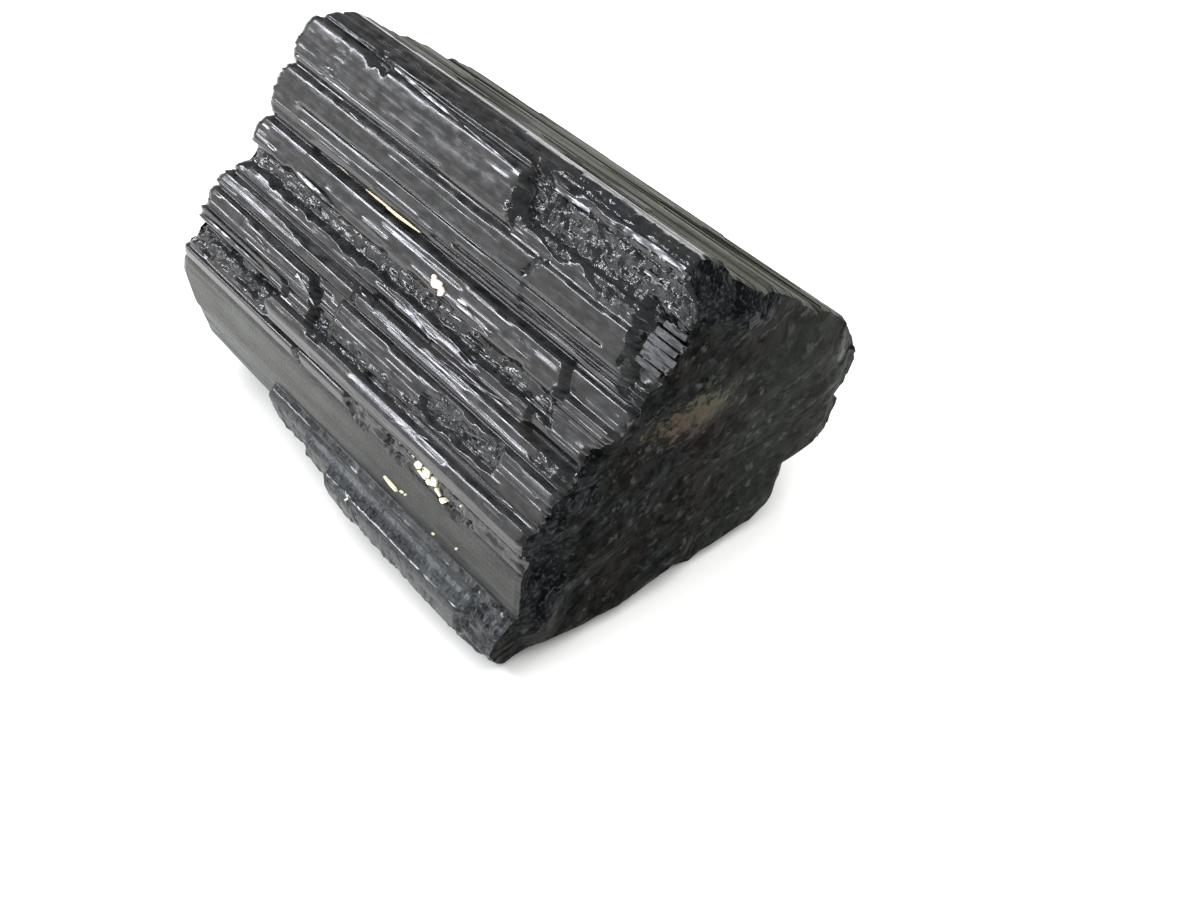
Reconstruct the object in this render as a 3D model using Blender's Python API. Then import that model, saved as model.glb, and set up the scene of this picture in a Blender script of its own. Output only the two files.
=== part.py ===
"""Tourmaline crystal: a broken length of black schorl, one natural solid.

The crystal is a three-sided prism whose faces are built of ribs that run along
it. It is broken across at both ends and lies on two flat ribs of its underside.
The tables below are in millimetres. X runs along the prism, with x = 0 at the
front break. A place round the section is "s", the distance round the outline
from the foot of the left wall, up over the crest and down the roof.
"""

import bisect
import math

import bmesh
import bpy
from mathutils import Vector, noise

MM = 0.001

# Driving dimensions, in mm
LENGTH = 37.0              # from the front break to the back break, on the left face
CREST_HEIGHT = 25.8        # the crest above the surface that the crystal lies on
RIGHT_EDGE = 29.8          # the right edge, measured across from the left wall
FRONT_STEP = 0.62          # spacing of points round the left wall and the ribbed face
ROOF_STEP = 1.1            # spacing of points on the roof and the right wall
BASE_STEP = 2.2            # spacing of points on the underside
STATION_STEP = 1.15        # spacing of sections along the prism
END_REACH = 4.0            # length over which the sections turn to follow a break
CORNER_REACH = 0.8         # how far either side of a corner its normal turns
STEP_SOFTNESS = 0.5        # length over which a rib's broken end drops
DEEP = 0.8                 # a ledge this deep has sections of its own at its ends
ROUGHNESS = 0.2            # height of the crumbled patches
BREAK_RELIEF = 1.0         # height of the waves on the two breaks
BREAK_GRAIN = (0.2, 0.36)  # waves per mm on a break, across and upwards
BREAK_RIM = 0.14           # share of a break's width that turns to meet the faces
EDGE_CHIP = 0.35           # wear of the sharp edge round each break
EDGE_REACH = 1.1           # how far the wear reaches along the prism
CRUMB_GRAIN = (1.1, 1.7)   # lumps per mm on a crumbled patch, along and across
BREAK_RINGS = (0.95, 0.84, 0.68, 0.48, 0.25)
BREAK_CENTRE = (15.5, 11.5)
FRONT_LEVEL = 0.35         # x of the middle of the front break
BACK_LEVEL = -36.8         # x of the middle of the back break

# Corners of the section: (y, z) at the front break and at the back break
CORNERS = (
    ((2.4, 0.9), (3.6, 1.9)),         # foot of the left wall
    ((1.1, 3.4), (1.3, 4.6)),
    ((1.2, 6.3), (1.2, 6.3)),
    ((2.0, 11.8), (2.0, 11.8)),       # top of the left wall
    ((3.4, 13.0), (3.4, 13.0)),
    ((6.8, 16.4), (6.8, 16.4)),       # ribbed face
    ((8.6, 18.9), (8.6, 18.9)),
    ((10.6, 22.0), (10.6, 22.0)),
    ((13.1, 25.0), (13.1, 24.9)),
    ((14.2, CREST_HEIGHT), (14.2, 25.2)),
    ((15.6, 25.0), (15.6, 24.5)),     # crest, and the roof down to its eave
    ((28.3, 15.2), (27.7, 14.8)),
    ((RIGHT_EDGE, 12.3), (28.9, 12.1)),
    ((29.0, 7.8), (28.2, 7.8)),       # right wall
    ((28.2, 5.1), (27.2, 5.2)),
    ((25.0, 4.4), (24.4, 3.8)),       # ledge under the right wall
    ((24.2, 1.0), (23.6, 0.9)),
    ((22.6, 0.0), (22.2, 0.0)),       # right flat rib of the underside
    ((16.6, 0.0), (16.6, 0.0)),
    ((14.0, 1.2), (14.0, 1.1)),       # hollow between the two flat ribs
    ((11.2, 0.0), (11.2, 0.0)),       # left flat rib of the underside
    ((6.0, 0.0), (6.8, 0.0)),
)
ARC_START = -1.0           # s at the first corner
ROOF_START = 9             # index of the crest in CORNERS
BASE_START = 15            # index of the ledge under the right wall
FLAT_PAIRS = ((17, 18), (20, 21))

# Ribs: (s from, s to, height, x from, x to)
RIBS = (
    (-1.0, 4.3, 0.75, -25.0, 3.0),    # rib along the foot of the left wall
    (-1.0, 3.7, 0.45, -20.2, 3.0),
    (-1.0, 3.3, 0.70, -17.2, -2.6),
    (-1.0, 3.3, 0.40, -2.6, 3.0),
    (4.5, 9.0, 0.12, -40.0, 3.0),     # smooth left wall
    (9.3, 11.1, 0.50, -27.0, 3.0),
    (11.3, 12.3, 0.40, -40.0, -26.5),
    (11.9, 13.9, 0.42, -40.0, -24.4),
    (11.4, 13.9, 0.34, -21.5, 3.0),
    (14.0, 15.3, 0.48, -40.0, -0.5),
    (15.6, 16.7, 0.30, -38.0, -5.0),
    (17.9, 20.1, 0.62, -40.0, -4.2),
    (17.6, 18.6, 0.30, -4.2, 3.0),
    (20.5, 22.1, 0.30, -40.0, 3.0),
    (22.2, 24.1, 0.58, -40.0, -10.5),
    (22.2, 24.1, 0.36, -10.5, -0.8),
    (24.2, 27.8, 0.62, -40.0, -13.5),
    (24.2, 25.6, 0.25, -12.6, -0.8),
    (27.8, 28.8, 0.25, -12.0, -0.2),
    (29.3, 32.6, 0.42, -42.0, 3.0),   # roof
    (32.7, 35.2, 0.26, -42.0, -9.0),
    (35.3, 39.6, 0.45, -42.0, 3.0),
    (39.7, 42.0, 0.22, -33.0, 3.0),
    (42.1, 46.5, 0.40, -42.0, 3.0),
    (50.2, 53.4, 0.40, -42.0, 3.0),   # right wall
    (53.5, 57.0, 0.35, -31.0, 3.0),
    (57.6, 61.6, 0.30, -42.0, -12.0),
)

# Cracks and grooves along the prism: (s, half width, depth, x from, x to)
GROOVES = (
    (9.2, 0.55, 0.42, -27.0, 3.0),
    (11.2, 0.55, 0.34, -40.0, -27.0),
    (15.45, 0.6, 0.55, -5.0, -0.4),
    (20.25, 0.7, 0.62, -31.0, 3.0),
    (21.2, 0.5, 0.30, -18.0, 3.0),
    (39.65, 0.8, 0.35, -42.0, -6.0),
    (53.45, 0.9, 0.45, -42.0, 3.0),
)

# Places where ribs have broken away: (s from, s to, x from, x to, depth, crumbled share)
LEDGES = (
    (16.6, 18.0, -38.0, -4.0, 0.50, 0.9),
    (9.4, 11.1, -38.5, -27.2, 0.38, 1.0),
    (8.0, 9.2, -23.4, -17.6, 0.32, 0.5),
    (8.0, 9.3, -17.4, -4.6, 0.24, 1.0),
    (12.0, 13.4, -12.2, -4.9, 0.28, 1.0),
    (24.6, 28.0, -12.2, -0.4, 0.20, 1.0),
    (27.2, 28.2, -30.0, -27.8, 0.30, 1.0),
    (25.4, 28.6, -13.9, -12.3, 1.15, 0.3),
    (11.0, 13.3, -24.3, -22.9, 0.85, 0.3),
    (21.9, 25.7, -0.9, 3.0, 1.25, 0.0),
    (27.6, 31.0, -1.2, 3.0, 0.80, 0.6),
    (1.0, 4.1, -3.0, 3.0, 0.25, 1.0),
    (39.8, 42.0, -42.0, -33.2, 0.35, 0.5),
    (53.5, 57.0, -42.0, -31.2, 0.40, 0.8),
    (57.6, 61.0, -11.0, 3.0, 0.35, 0.8),
)

# Where the faces end, as (s, x): the front break and the back break
FRONT_EDGE = (
    (-1.0, -0.9), (2.0, -0.2), (5.0, 0.4), (10.0, 0.0), (14.0, 0.1), (16.8, -0.4),
    (18.2, 0.9), (21.0, 1.0), (25.0, 1.3), (27.4, 0.9), (28.6, -0.2), (31.0, 0.3),
    (46.0, 0.2), (49.0, 0.4), (52.0, 0.0), (58.0, 0.0), (64.5, -0.2), (69.0, -0.6),
    (73.0, 0.0), (78.0, -0.5), (90.0, -0.9),
)
BACK_EDGE = (
    (-1.0, -34.6), (2.0, -35.2), (4.4, -36.2), (6.5, -38.2), (9.0, -37.6), (10.6, -36.8),
    (12.6, -37.3), (14.4, -37.6), (17.0, -36.4), (19.0, -36.8), (20.6, -36.2), (22.6, -37.0),
    (24.4, -36.4), (26.4, -36.8), (28.4, -36.0), (29.4, -35.7), (34.0, -36.2), (38.5, -36.7),
    (39.6, -37.6), (45.0, -37.6), (50.0, -38.2), (56.0, -37.4), (64.0, -36.0), (72.0, -36.8),
    (80.0, -35.4), (90.0, -34.6),
)

# Hollows (negative) and bulges of the breaks: (y, z, radius, height)
FRONT_FORMS = (
    (13.5, 24.2, 2.6, -1.1),          # hollow under the crest
    (2.6, 9.4, 3.6, -0.7),            # glassy scoop behind the left wall
    (3.2, 4.4, 2.8, 0.6),             # lip at the foot of the left wall
    (18.0, 21.0, 3.4, 0.5),
    (22.8, 18.6, 2.6, -0.5),          # flat chip below the roof
    (14.5, 15.6, 3.6, 0.6),
    (25.5, 13.0, 4.5, 0.7),
    (20.0, 7.0, 5.0, -0.5),
    (8.5, 9.5, 4.5, 0.4),
    (14.0, 3.5, 4.0, 0.5),
)
BACK_FORMS = (
    (6.0, 8.0, 4.5, -1.0),
    (14.0, 17.5, 5.0, -0.9),
    (12.0, 6.5, 4.5, 0.8),
    (21.0, 12.5, 5.5, 1.0),
    (24.5, 7.0, 4.0, -0.8),
    (17.0, 22.0, 3.0, 0.6),
)


def arc_lengths():
    """Distance round the front outline to each corner, and right round it."""
    lengths = [ARC_START]
    for index, (start, _) in enumerate(CORNERS):
        end = CORNERS[(index + 1) % len(CORNERS)][0]
        lengths.append(lengths[-1] + math.dist(start, end))
    return lengths


ARCS = arc_lengths()
GIRTH = ARCS[-1] - ARC_START


def outline_point(s, share):
    """Point (y, z) at distance s round the section, share of the way to the back."""
    s = ARC_START + (s - ARC_START) % GIRTH
    index = min(bisect.bisect_right(ARCS, s) - 1, len(CORNERS) - 1)
    part = (s - ARCS[index]) / (ARCS[index + 1] - ARCS[index])
    here, there = CORNERS[index], CORNERS[(index + 1) % len(CORNERS)]
    near = [a + (b - a) * part for a, b in zip(here[0], there[0])]
    far = [a + (b - a) * part for a, b in zip(here[1], there[1])]
    return [a + (b - a) * share for a, b in zip(near, far)]


def outward(s, share):
    """Outward direction (y, z) of the section, turning smoothly at corners."""
    before = outline_point(s - CORNER_REACH, share)
    after = outline_point(s + CORNER_REACH, share)
    dy, dz = after[0] - before[0], after[1] - before[1]
    size = math.hypot(dy, dz)
    return -dz / size, dy / size


def on_curve(curve, s):
    """Value at s of a curve given as (s, value) pairs."""
    for (s0, v0), (s1, v1) in zip(curve, curve[1:]):
        if s <= s1:
            return v0 + (v1 - v0) * (s - s0) / (s1 - s0)
    return curve[-1][1]


def ease(value):
    """Smooth step from 0 to 1."""
    value = min(max(value, 0.0), 1.0)
    return value * value * (3.0 - 2.0 * value)


def within(value, low, high, softness):
    """1 between low and high, easing to 0 over the softness beyond each."""
    return ease((value - low) / softness + 0.5) * ease((high - value) / softness + 0.5)


def on_flat(s):
    """True where s lies on one of the two flat ribs of the underside."""
    return any(ARCS[a] - 1e-6 <= s <= ARCS[b] + 1e-6 for a, b in FLAT_PAIRS)


def relief(s, x):
    """Height of the face above the plain outline at (s, x)."""
    height = 0.0
    crumbled = 0.0
    for start, end, crown, x_from, x_to in RIBS:
        if start < s < end:
            across = 2.0 * (s - start) / (end - start) - 1.0
            height += crown * (1.0 - across ** 4) * within(x, x_from, x_to, STEP_SOFTNESS)
    for middle, half_width, depth, x_from, x_to in GROOVES:
        across = max(0.0, 1.0 - abs(s - middle) / half_width)
        height -= depth * across * within(x, x_from, x_to, STEP_SOFTNESS)
    for start, end, x_from, x_to, depth, rough in LEDGES:
        share = within(s, start, end, STEP_SOFTNESS) * within(x, x_from, x_to, STEP_SOFTNESS)
        height -= depth * share
        crumbled = max(crumbled, rough * share)
    grain = noise.noise((CRUMB_GRAIN[0] * x, CRUMB_GRAIN[1] * s, 0.0))
    height += ROUGHNESS * crumbled * grain
    return height


def stations():
    """Places x of the sections, with extra ones at the ends of each deep ledge."""
    deep = [edge for ledge in LEDGES if ledge[4] > DEEP for edge in ledge[2:4]]
    extra = [edge + side * STEP_SOFTNESS / 2 for edge in deep for side in (-1, 1)]
    extra = sorted(x for x in extra if -LENGTH + 1 < x < -STEP_SOFTNESS)
    count = round(LENGTH / STATION_STEP)
    regular = [-LENGTH * i / count for i in range(count + 1)]
    clear = [x for x in regular if all(abs(x - other) > STATION_STEP / 2 for other in extra)]
    return sorted(clear + extra, reverse=True)


def body_point(s, station):
    """Point on the faces at a section's place, moved to follow the breaks near the ends."""
    to_front = station
    to_back = -LENGTH - station
    x = station + on_curve(FRONT_EDGE, s) * ease(1.0 + to_front / END_REACH)
    x += (on_curve(BACK_EDGE, s) + LENGTH) * ease(1.0 + to_back / END_REACH)
    share = min(max(-x / LENGTH, 0.0), 1.0)
    y, z = outline_point(s, share)
    if on_flat(s):
        return Vector((x, y, z))
    ny, nz = outward(s, share)
    wear = EDGE_CHIP * ease(1.0 + max(to_front, to_back) / EDGE_REACH)
    height = relief(s, x) - wear * (0.6 + 0.4 * noise.noise((0.9 * s, 4.0, station)))
    return Vector((x, y + ny * height, max(z + nz * height, 0.0)))


def break_height(y, z, forms, seed):
    """Relief of a break at (y, z)."""
    place = (BREAK_GRAIN[0] * y, BREAK_GRAIN[1] * z, seed)
    height = BREAK_RELIEF * noise.fractal(place, 0.7, 2.1, 4)
    for form_y, form_z, radius, rise in forms:
        height += rise * ease(1.0 - math.hypot(y - form_y, z - form_z) / radius)
    return height


def break_point(edge, ring, forms, seed, outwards):
    """Point of a break, ring of the way from its centre to its edge."""
    y = BREAK_CENTRE[0] + (edge.y - BREAK_CENTRE[0]) * ring
    z = BREAK_CENTRE[1] + (edge.z - BREAK_CENTRE[1]) * ring
    level = FRONT_LEVEL if outwards > 0 else BACK_LEVEL
    inside = ease((1.0 - ring) / BREAK_RIM)
    x = edge.x + (level - edge.x) * inside
    return Vector((x + outwards * inside * break_height(y, z, forms, seed), y, z))


def places_round():
    """Distances s of the points round the section, with one at every flat's end."""
    base = [BASE_START] + [corner for pair in FLAT_PAIRS for corner in pair] + [len(CORNERS)]
    spans = [(0, ROOF_START, FRONT_STEP), (ROOF_START, BASE_START, ROOF_STEP)]
    spans += [(first, last, BASE_STEP) for first, last in zip(base, base[1:])]
    places = []
    for first, last, step in spans:
        start, end = ARCS[first], ARCS[last]
        count = max(2, round((end - start) / step))
        places += [start + (end - start) * i / count for i in range(count)]
    return places


def build_crystal():
    """The whole crystal as one closed mesh."""
    places = places_round()
    bm = bmesh.new()
    rows = [[bm.verts.new(body_point(s, x)) for s in places] for x in stations()]
    add_break(bm, rows[0], FRONT_FORMS, 3.0, 1)
    add_break(bm, rows[-1], BACK_FORMS, 8.0, -1)
    for first, second in zip(rows, rows[1:]):
        bridge(bm, first, second)
    bmesh.ops.triangulate(bm, faces=bm.faces[:])
    bmesh.ops.recalc_face_normals(bm, faces=bm.faces[:])
    centre_on_box(bm)
    mesh = bpy.data.meshes.new("tourmaline_crystal")
    bm.to_mesh(mesh)
    bm.free()
    return mesh


def bridge(bm, first, second):
    """Faces between two loops of points."""
    for index in range(len(first)):
        after = (index + 1) % len(first)
        bm.faces.new((first[index], first[after], second[after], second[index]))


def add_break(bm, edge_row, forms, seed, outwards):
    """Close one end with the uneven surface of a break."""
    edge = [vert.co.copy() for vert in edge_row]
    outer = edge_row
    for ring in BREAK_RINGS:
        inner = [bm.verts.new(break_point(co, ring, forms, seed, outwards)) for co in edge]
        bridge(bm, outer, inner)
        outer = inner
    centre = bm.verts.new(break_point(edge[0], 0.0, forms, seed, outwards))
    for index in range(len(outer)):
        bm.faces.new((outer[index], outer[(index + 1) % len(outer)], centre))


def centre_on_box(bm):
    """Move the mesh to its own origin, the middle of its box's floor, in metres."""
    xs = [vert.co.x for vert in bm.verts]
    ys = [vert.co.y for vert in bm.verts]
    middle = Vector(((min(xs) + max(xs)) / 2, (min(ys) + max(ys)) / 2, 0.0))
    for vert in bm.verts:
        vert.co = (vert.co - middle) * MM


def schorl_material():
    """Black tourmaline: near black, with a glassy, slightly broken shine."""
    material = bpy.data.materials.new("schorl")
    material.use_nodes = True
    shader = material.node_tree.nodes["Principled BSDF"]
    shader.inputs["Base Color"].default_value = (0.028, 0.030, 0.030, 1.0)
    shader.inputs["Roughness"].default_value = 0.32
    shader.inputs["Metallic"].default_value = 0.0
    shader.inputs["IOR"].default_value = 1.64
    return material


for old in list(bpy.data.objects):
    bpy.data.objects.remove(old)

collection = bpy.data.collections.new("tourmaline crystal")
bpy.context.scene.collection.children.link(collection)
crystal = bpy.data.objects.new("tourmaline_crystal", build_crystal())
crystal.data.materials.append(schorl_material())
collection.objects.link(crystal)
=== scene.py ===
"""A broken length of black tourmaline lying on a pale table."""

import math

import bmesh
import bpy
import numpy as np
from mathutils import Matrix, Vector, geometry, noise


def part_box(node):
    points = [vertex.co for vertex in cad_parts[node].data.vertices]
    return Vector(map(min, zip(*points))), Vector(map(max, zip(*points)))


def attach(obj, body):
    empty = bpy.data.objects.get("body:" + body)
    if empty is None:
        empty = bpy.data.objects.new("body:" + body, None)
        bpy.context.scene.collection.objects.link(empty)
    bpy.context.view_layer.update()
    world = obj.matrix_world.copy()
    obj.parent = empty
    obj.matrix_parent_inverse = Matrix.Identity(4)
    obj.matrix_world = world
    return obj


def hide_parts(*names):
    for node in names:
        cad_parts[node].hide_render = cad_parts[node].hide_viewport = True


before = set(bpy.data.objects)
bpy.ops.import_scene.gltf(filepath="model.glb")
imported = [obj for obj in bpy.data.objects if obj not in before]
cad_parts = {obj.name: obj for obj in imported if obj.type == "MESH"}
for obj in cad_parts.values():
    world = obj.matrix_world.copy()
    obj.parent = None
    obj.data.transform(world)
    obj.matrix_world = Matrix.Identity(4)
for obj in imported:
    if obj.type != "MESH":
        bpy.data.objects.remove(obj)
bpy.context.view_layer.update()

# ------------------------
# Setting out: the crystal is drawn in millimetres, with x = 0 at its front
# break and y = 0 by its left wall, and is carried from there to its place.
# ------------------------
MM = 0.001
FRONT_PROUD = 1.43         # how far the front break's highest point stands past x = 0
LEFT_PROUD = 0.72          # how far the foot rib stands past y = 0
crystal_low, crystal_high = (Vector(corner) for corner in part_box("tourmaline_crystal"))
drawing_origin = Vector((
    crystal_high.x - FRONT_PROUD * MM,
    crystal_low.y + LEFT_PROUD * MM,
    crystal_low.z,
))

# ------------------------
# Camera: a phone held low over the table, looking down across the front break
# and the ribbed face, and turned a little on its own axis.
# ------------------------
CAMERA_PLACE = (43.2, -35.4, 76.0)   # mm, in the crystal's drawing
CAMERA_HEADING = 135.4               # degrees from +X
CAMERA_DOWN = 44.5
CAMERA_ROLL = 5.2
CAMERA_LENS = 45.0
SENSOR_WIDTH = 36.0
WINDOW_PLACE = (-378.0, -294.0, 378.0)   # mm; the strips that shine are turned to mirror it

camera_data = bpy.data.cameras.new("camera")
camera_data.lens = CAMERA_LENS
camera_data.sensor_fit = "HORIZONTAL"
camera_data.sensor_width = SENSOR_WIDTH
camera_data.clip_start = MM
camera = bpy.data.objects.new("camera", camera_data)
bpy.context.scene.collection.objects.link(camera)
turn = Matrix.Rotation(math.radians(CAMERA_HEADING - 90.0), 4, "Z")
tip = Matrix.Rotation(math.radians(90.0 - CAMERA_DOWN), 4, "X")
roll = Matrix.Rotation(math.radians(CAMERA_ROLL), 4, "Z")
camera_point = drawing_origin + Vector(CAMERA_PLACE) * MM
camera.matrix_world = Matrix.Translation(camera_point) @ turn @ tip @ roll
bpy.context.scene.camera = camera

# ------------------------
# The crystal's section: a rounded three-sided prism of schorl, given by its
# corners at the front break and at the back break.
# ------------------------
LENGTH = 37.0
CREST_HEIGHT = 25.8
RIGHT_EDGE = 29.8
CORNERS = (
    ((2.4, 0.9), (3.6, 1.9)),  # foot of the left wall
    ((1.1, 3.4), (1.3, 4.6)),
    ((1.2, 6.3), (1.2, 6.3)),
    ((2.0, 11.8), (2.0, 11.8)),  # top of the left wall
    ((3.4, 13.0), (3.4, 13.0)),
    ((6.8, 16.4), (6.8, 16.4)),  # ribbed face
    ((8.6, 18.9), (8.6, 18.9)),
    ((10.6, 22.0), (10.6, 22.0)),
    ((13.1, 25.0), (13.1, 24.9)),
    ((14.2, CREST_HEIGHT), (14.2, 25.2)),
    ((15.6, 25.0), (15.6, 24.5)),  # crest, and the roof down to its eave
    ((28.3, 15.2), (27.7, 14.8)),
    ((RIGHT_EDGE, 12.3), (28.9, 12.1)),
    ((29.0, 7.8), (28.2, 7.8)),  # right wall
    ((28.2, 5.1), (27.2, 5.2)),
    ((25.0, 4.4), (24.4, 3.8)),  # ledge under the right wall
    ((24.2, 1.0), (23.6, 0.9)),
    ((22.6, 0.0), (22.2, 0.0)),  # right flat rib of the underside
    ((16.6, 0.0), (16.6, 0.0)),
    ((14.0, 1.2), (14.0, 1.1)),  # hollow between the two flat ribs
    ((11.2, 0.0), (11.2, 0.0)),  # left flat rib of the underside
    ((6.0, 0.0), (6.8, 0.0)),
)
SAME = 1e-6                # mm; places closer than this are one
ARC_START = -1.0
ROOF_START = 9
WALL_START = 11
BASE_START = 15
FLAT_PAIRS = ((17, 18), (20, 21))
CORNER_REACH = 0.8

near = np.array([corner[0] for corner in CORNERS] + [CORNERS[0][0]])
far = np.array([corner[1] for corner in CORNERS] + [CORNERS[0][1]])
arcs = ARC_START + np.concatenate(([0.0], np.cumsum(np.hypot(*np.diff(near, axis=0).T))))
girth = arcs[-1] - arcs[0]


def outline(s, share):
    """Points (y, z) at distances s round the section, share of the way to the back."""
    s = arcs[0] + (s - arcs[0]) % girth
    front = np.stack([np.interp(s, arcs, near[:, axis]) for axis in (0, 1)], axis=-1)
    back = np.stack([np.interp(s, arcs, far[:, axis]) for axis in (0, 1)], axis=-1)
    return front + (back - front) * share[..., None]


def outward(s, share):
    """Outward directions (y, z) of the section, turning smoothly at corners."""
    along = outline(s + CORNER_REACH, share) - outline(s - CORNER_REACH, share)
    along /= np.linalg.norm(along, axis=-1, keepdims=True)
    return np.stack([-along[..., 1], along[..., 0]], axis=-1)


def ease(value):
    """Smooth step from 0 to 1."""
    value = np.clip(value, 0.0, 1.0)
    return value * value * (3.0 - 2.0 * value)


def within(value, low, high, softness):
    """1 between low and high, easing to 0 over the softness beyond each."""
    return ease((value - low) / softness + 0.5) * ease((high - value) / softness + 0.5)


# ------------------------
# Ribs and ledges: the faces grew as parallel ribs along the prism. Some have
# snapped off part of the way along and left crumbled ledges, a slot and a pit.
# ------------------------
RIB_SHAPE = 8              # how flat a rib's top is
STEP_SOFTNESS = 0.22       # length over which a rib's broken end drops
RAGGED = 0.55              # how far the broken edges wander
RAGGED_GRAIN = (0.8, 1.1)  # wander per mm along the prism and round it
RAGGED_SEED = 7
END_LEAN = 0.4             # how far broken ends slant, along the prism for each mm up the face
RIBS = (  # s from, s to, height, lean to the upper edge, x from, x to
    (-1.0, 4.3, 0.75, 0.0, -25.0, 3.0),  # rib along the foot of the left wall
    (-1.0, 3.7, 0.45, 0.0, -20.2, 3.0),
    (-1.0, 3.3, 0.70, 0.0, -17.2, -2.6),
    (-1.0, 3.3, 0.40, 0.0, -2.6, 3.0),
    (4.5, 7.9, 0.10, 0.0, -40.0, 3.0),  # smooth left wall
    (7.95, 9.0, 0.26, 0.08, -40.0, -23.4),
    (7.95, 8.9, 0.12, 0.05, -23.4, -17.5),
    (9.3, 11.1, 0.46, 0.10, -27.0, 3.0),
    (11.3, 12.3, 0.40, 0.0, -40.0, -26.5),
    (11.9, 13.9, 0.38, 0.10, -40.0, -24.4),
    (11.4, 13.9, 0.32, 0.14, -21.5, 3.0),
    (14.0, 15.3, 0.46, -0.06, -40.0, -0.5),
    (15.6, 16.7, 0.30, 0.0, -38.0, -5.0),
    (17.9, 20.25, 0.56, -0.08, -40.0, -4.2),
    (17.6, 18.6, 0.30, 0.0, -4.2, 3.0),
    (20.35, 24.2, 0.46, -0.06, -40.0, -10.0),
    (20.35, 24.2, 0.38, -0.02, -10.0, -0.8),
    (24.2, 27.9, 0.60, 0.04, -40.0, -13.4),
    (24.1, 25.4, 0.28, 0.0, -13.0, -0.8),
    (27.95, 29.4, 0.22, -0.24, -37.0, -13.0),
    (27.9, 28.5, 0.22, 0.0, -12.4, -0.2),
    (29.3, 32.6, 0.36, 0.0, -42.0, 3.0),  # roof
    (32.7, 35.2, 0.26, 0.0, -42.0, -9.0),
    (35.3, 39.6, 0.40, 0.0, -42.0, 3.0),
    (39.7, 42.0, 0.22, 0.0, -33.0, 3.0),
    (42.1, 46.5, 0.38, 0.0, -42.0, 3.0),
    (50.2, 53.4, 0.40, 0.0, -42.0, 3.0),  # right wall
    (53.5, 57.0, 0.35, 0.0, -31.0, 3.0),
    (57.6, 61.6, 0.30, 0.0, -42.0, -12.0),
)
GROOVES = (  # s, half width, depth, x from, x to
    (9.2, 0.35, 0.50, -27.0, 3.0),
    (11.2, 0.35, 0.40, -40.0, -27.0),
    (15.45, 0.40, 0.60, -5.0, -0.4),
    (15.3, 0.25, 0.25, -20.0, -14.2),
    (20.30, 0.26, 0.55, -31.0, 3.0),
    (20.95, 0.16, 0.26, -18.0, 3.0),
    (21.4, 0.16, 0.22, -16.0, 3.0),
    (25.05, 0.20, 0.50, -0.9, 3.0),
    (22.25, 0.14, 0.14, -34.0, -3.0),
    (24.75, 0.14, 0.10, -36.0, -20.0),
    (39.65, 0.5, 0.40, -42.0, -6.0),
    (35.25, 0.35, 0.25, -42.0, 3.0),
    (53.45, 0.6, 0.45, -42.0, 3.0),
)
LEDGES = (  # s from, s to, x from, x to, depth, crumbled share
    (16.6, 18.0, -38.0, -4.0, 0.32, 0.6),
    (9.4, 11.1, -38.5, -27.2, 0.38, 1.0),
    (7.9, 9.2, -17.4, -4.6, 0.14, 0.8),
    (8.2, 9.2, -4.6, 1.0, 0.14, 0.6),
    (12.0, 13.4, -12.2, -4.9, 0.28, 1.0),
    (24.9, 28.0, -13.0, -0.4, 0.18, 1.0),
    (27.2, 28.2, -30.0, -27.8, 0.30, 1.0),
    (10.9, 12.0, -23.6, -21.8, 0.35, 1.0),
    (21.9, 25.7, -1.5, 3.0, 0.50, 0.0),
    (2.0, 4.1, -3.0, 3.0, 0.20, 1.0),
    (39.8, 42.0, -42.0, -33.2, 0.35, 0.5),
    (53.5, 57.0, -42.0, -31.2, 0.40, 0.8),
    (57.6, 61.0, -11.0, 3.0, 0.35, 0.8),
)
SLOTS = (  # s from, s to, x at each, half width, depth of cracks across the ribs
    (25.2, 28.7, -12.3, -14.3, 0.14, 0.40),
    (21.9, 25.9, -1.40, -0.80, 0.22, 0.55),
    (11.3, 13.3, -23.6, -24.3, 0.26, 0.60),
    (22.6, 24.4, -10.2, -9.6, 0.12, 0.25),
    (14.0, 15.2, -20.6, -21.4, 0.14, 0.25),
    (7.9, 9.3, -23.1, -23.7, 0.16, 0.25),
    (7.9, 9.3, -17.3, -17.8, 0.16, 0.25),
    (7.9, 9.2, -13.2, -13.9, 0.12, 0.22),
)
CRUMBLED = (  # s from, s to, x from, x to, share: broken skin with no step down
    (11.2, 12.0, -22.0, -11.5, 0.8),
    (-0.6, 4.2, -24.5, 1.0, 0.22),
    (0.0, 2.2, -24.5, -3.0, 0.6),
    (2.4, 3.6, -17.5, -13.5, 0.5),
    (24.4, 27.4, -33.5, -31.5, 0.2),
    (14.2, 15.2, -3.0, 0.5, 0.8),
    (16.4, 17.2, -24.0, -14.0, 0.5),
    (24.9, 28.4, -13.9, -12.6, 1.0),
    (24.2, 27.6, -5.0, 3.0, 1.0),
    (28.5, 29.6, -12.5, -0.5, 0.8),
    (20.2, 21.6, 0.0, 3.0, 0.8),
)
CALM = (  # s from, s to, share of the plates' relief that is left
    (-1.0, 4.3, 0.40),
    (4.6, 8.6, 0.10),
    (18.2, 20.0, 0.75),
    (21.6, 24.0, 0.45),
    (24.6, 27.6, 0.30),
    (61.0, 90.0, 0.5),
)
noise.seed_set(RAGGED_SEED)


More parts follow.
